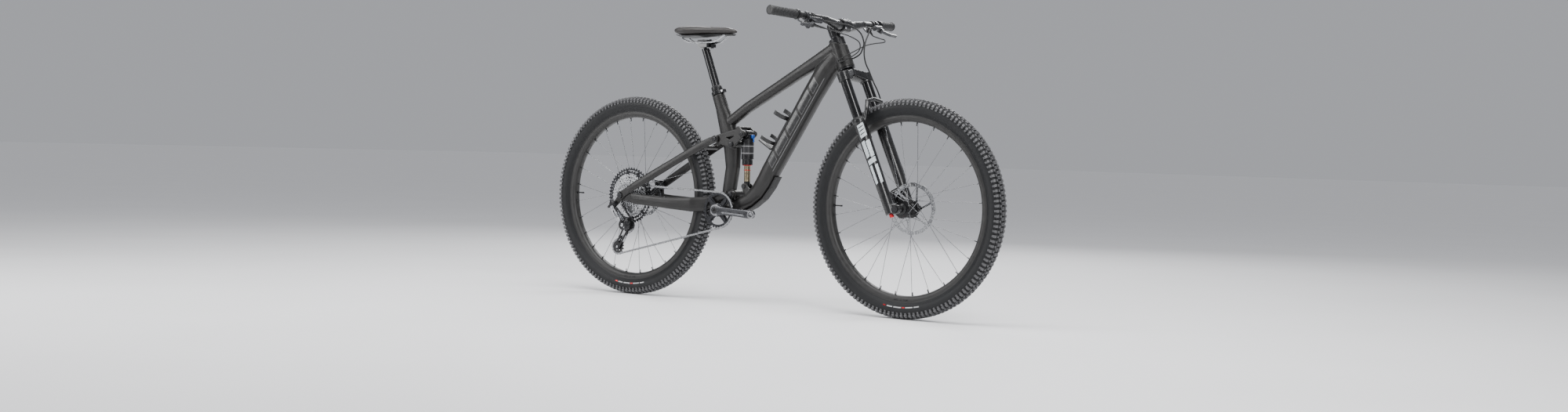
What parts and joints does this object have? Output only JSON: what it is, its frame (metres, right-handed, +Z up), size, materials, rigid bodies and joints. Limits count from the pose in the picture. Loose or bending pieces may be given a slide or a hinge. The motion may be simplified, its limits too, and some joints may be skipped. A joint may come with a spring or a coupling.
{
  "type": "mountain bike",
  "caption": "Full-suspension trail bike with 29 inch wheels, a telescopic fork, a four-bar rear end with shock, disc brakes, a wide-range single-ring drivetrain and a dropper seatpost.",
  "frame": {"origin": "on the ground, midway between the two wheels", "axes": "+X forward along the bike, +Y to the rider's left, +Z up"},
  "size_m": [1.942, 0.76, 1.0351],
  "materials": {
    "carbon_frame": "satin moulded carbon",
    "carbon_rim": "satin moulded carbon",
    "carbon_bar": "satin moulded carbon",
    "tyre_rubber": "matte",
    "rubber": "matte",
    "black_metal": "black anodised",
    "fork_paint": "gloss black paint",
    "black_slide": "polished black",
    "shock_chrome": "polished",
    "black_plastic": "moulded",
    "lever_metal": "satin grey",
    "crank_metal": "polished grey",
    "steel": "bright",
    "red_anodised": "red anodised",
    "blue_anodised": "blue anodised",
    "saddle_cover": "satin synthetic leather"
  },
  "bodies": {
    "frame": {"main_frame": "carbon_frame", "frame_bearings": "black_metal", "seat_clamp": "black_metal", "post_outer": "black_metal", "bottle_cage": "black_plastic", "downtube_guard": "rubber", "pivot_axles": "black_metal", "chain": "steel"},
    "seatpost": {"post_inner": "black_slide", "saddle_clamp": "black_metal", "saddle_rails": "steel", "saddle_shell": "black_plastic", "saddle_cover": "saddle_cover"},
    "steerer": {"fork_crown": "black_metal", "fork_stanchions": "black_slide", "stem": "black_metal", "stem_faceplate": "black_metal", "headset_spacers": "black_metal", "handlebar": "carbon_bar", "grips": "rubber", "brake_bodies": "black_metal", "shifter_body": "black_plastic", "dropper_remote": "black_plastic", "control_lines": "rubber"},
    "brake_lever_right": {"brake_lever_right": "lever_metal"},
    "brake_lever_left": {"brake_lever_left": "lever_metal"},
    "shift_lever": {"shift_lever": "lever_metal"},
    "release_lever": {"release_lever": "lever_metal"},
    "dropper_lever": {"dropper_lever": "lever_metal"},
    "fork_slider": {"fork_lowers": "fork_paint", "fork_seals": "rubber", "front_axle": "black_metal", "front_caliper": "black_metal"},
    "rebound_knob": {"rebound_knob": "red_anodised"},
    "front_wheel": {"front_tyre": "tyre_rubber", "front_rim": "carbon_rim", "front_spokes": "steel", "front_hub": "black_metal", "front_rotor": "steel"},
    "chainstay": {"chainstays": "carbon_frame", "rear_axle": "black_metal", "rear_caliper": "black_metal", "derailleur_body": "black_metal"},
    "seatstay": {"seatstays": "carbon_frame"},
    "rocker": {"rocker_link": "carbon_frame"},
    "shock_shaft": {"shock_shaft": "shock_chrome"},
    "shock_can": {"shock_can": "black_metal"},
    "shock_lever": {"shock_lever": "blue_anodised"},
    "rear_wheel": {"rear_tyre": "tyre_rubber", "rear_rim": "carbon_rim", "rear_spokes": "steel", "rear_hub": "black_metal", "rear_rotor": "steel"},
    "cassette": {"cassette": "steel"},
    "crankset": {"crank_right": "crank_metal", "crank_left": "crank_metal", "chainring": "black_metal"},
    "derailleur_cage": {"derailleur_cage": "black_metal"},
    "guide_pulley": {"guide_pulley": "black_plastic"},
    "tension_pulley": {"tension_pulley": "black_plastic"}
  },
  "joints": [
    {"name": "steering", "type": "hinge", "parent": "frame", "child": "steerer", "pos_m": [0.31883, 0, 0.89309], "axis": [-0.4067, 0, 0.9135], "range_deg": [-60, 60], "deforming": ["control_lines"]},
    {"name": "fork_travel", "type": "slide", "parent": "steerer", "child": "fork_slider", "axis": [-0.4067, 0, 0.9135], "range_m": [0, 0.12], "stiffness_N_per_m": 6000, "springref_m": -0.03, "deforming": ["control_lines"]},
    {"name": "front_wheel_spin", "type": "hinge", "parent": "fork_slider", "child": "front_wheel", "pos_m": [0.599, 0, 0.372], "axis": [0, 1, 0], "continuous": true},
    {"name": "rear_suspension", "type": "hinge", "parent": "frame", "child": "chainstay", "pos_m": [-0.119, 0, 0.394], "axis": [0, 1, 0], "range_deg": [0, 13.7], "stiffness_Nm_per_rad": 2600, "springref_deg": -1.72, "deforming": ["chain"]},
    {"name": "seatstay_hinge", "type": "hinge", "parent": "chainstay", "child": "seatstay", "pos_m": [-0.599, 0, 0.372], "axis": [0, 1, 0], "range_deg": [-6, 0.5]},
    {"name": "rocker_turn", "type": "hinge", "parent": "frame", "child": "rocker", "pos_m": [-0.121, 0, 0.574], "axis": [0, 1, 0], "range_deg": [0, 51]},
    {"name": "shock_swing", "type": "hinge", "parent": "frame", "child": "shock_shaft", "pos_m": [-0.074, 0, 0.425], "axis": [0, 1, 0], "range_deg": [0, 8]},
    {"name": "shock_stroke", "type": "slide", "parent": "shock_shaft", "child": "shock_can", "axis": [0.0106, 0, -0.9999], "range_m": [0, 0.048]},
    {"name": "shock_lockout", "type": "hinge", "parent": "shock_can", "child": "shock_lever", "pos_m": [-0.05389, 0, 0.60323], "axis": [0.9999, 0, 0.0106], "range_deg": [0, 80]},
    {"name": "rear_wheel_spin", "type": "hinge", "parent": "chainstay", "child": "rear_wheel", "pos_m": [-0.599, 0, 0.372], "axis": [0, 1, 0], "continuous": true},
    {"name": "crank_spin", "type": "hinge", "parent": "frame", "child": "crankset", "pos_m": [-0.164, 0, 0.336], "axis": [0, 1, 0], "continuous": true},
    {"name": "cassette_spin", "type": "hinge", "parent": "chainstay", "child": "cassette", "pos_m": [-0.599, 0, 0.372], "axis": [0, 1, 0], "continuous": true},
    {"name": "derailleur_cage_swing", "type": "hinge", "parent": "chainstay", "child": "derailleur_cage", "pos_m": [-0.586, 0, 0.262], "axis": [0, 1, 0], "range_deg": [-35, 0], "stiffness_Nm_per_rad": 1.5, "springref_deg": 34.38, "deforming": ["chain"]},
    {"name": "guide_pulley_spin", "type": "hinge", "parent": "derailleur_cage", "child": "guide_pulley", "pos_m": [-0.586, 0, 0.262], "axis": [0, 1, 0], "continuous": true},
    {"name": "tension_pulley_spin", "type": "hinge", "parent": "derailleur_cage", "child": "tension_pulley", "pos_m": [-0.634, 0, 0.177], "axis": [0, 1, 0], "continuous": true},
    {"name": "seatpost_drop", "type": "slide", "parent": "frame", "child": "seatpost", "axis": [-0.3633, 0, 0.9317], "range_m": [-0.14, 0], "stiffness_N_per_m": 250, "springref_m": 0.25},
    {"name": "brake_lever_right", "type": "hinge", "parent": "steerer", "child": "brake_lever_right", "pos_m": [0.34269, -0.21101, 0.98981], "axis": [-0.5527, 0.0665, -0.8308], "range_deg": [0, 18], "stiffness_Nm_per_rad": 0.6, "springref_deg": -22.92},
    {"name": "brake_lever_left", "type": "hinge", "parent": "steerer", "child": "brake_lever_left", "pos_m": [0.34269, 0.21101, 0.98981], "axis": [0.5527, 0.0665, 0.8308], "range_deg": [0, 18], "stiffness_Nm_per_rad": 0.6, "springref_deg": -22.92},
    {"name": "shift_lever", "type": "hinge", "parent": "steerer", "child": "shift_lever", "pos_m": [0.30135, -0.18283, 0.98105], "axis": [0.5527, -0.0665, 0.8308], "range_deg": [0, 30], "stiffness_Nm_per_rad": 0.3, "springref_deg": -22.92},
    {"name": "release_lever", "type": "hinge", "parent": "steerer", "child": "release_lever", "pos_m": [0.29803, -0.18243, 0.97606], "axis": [0.5527, -0.0665, 0.8308], "range_deg": [0, 15], "stiffness_Nm_per_rad": 0.3, "springref_deg": -22.92},
    {"name": "dropper_lever", "type": "hinge", "parent": "steerer", "child": "dropper_lever", "pos_m": [0.30356, 0.18309, 0.98437], "axis": [-0.5527, -0.0665, -0.8308], "range_deg": [0, 25], "stiffness_Nm_per_rad": 0.3, "springref_deg": -22.92},
    {"name": "rebound_dial", "type": "hinge", "parent": "fork_slider", "child": "rebound_knob", "pos_m": [0.58186, -0.066, 0.34904], "axis": [-0.4067, 0, 0.9135], "range_deg": [0, 270]}
  ],
  "couplings": [
    {"joint": "seatstay_hinge", "follows": "rear_suspension", "ratio": -0.3605},
    {"joint": "rocker_turn", "follows": "rear_suspension", "ratio": 3.6557},
    {"joint": "shock_swing", "follows": "rear_suspension", "ratio": 0.4949},
    {"joint": "shock_stroke", "follows": "rear_suspension", "m_per_rad": 0.19577},
    {"joint": "cassette_spin", "follows": "crank_spin", "ratio": 1.5238},
    {"joint": "guide_pulley_spin", "follows": "crank_spin", "ratio": -2.4615},
    {"joint": "tension_pulley_spin", "follows": "crank_spin", "ratio": 2.4615}
  ]
}
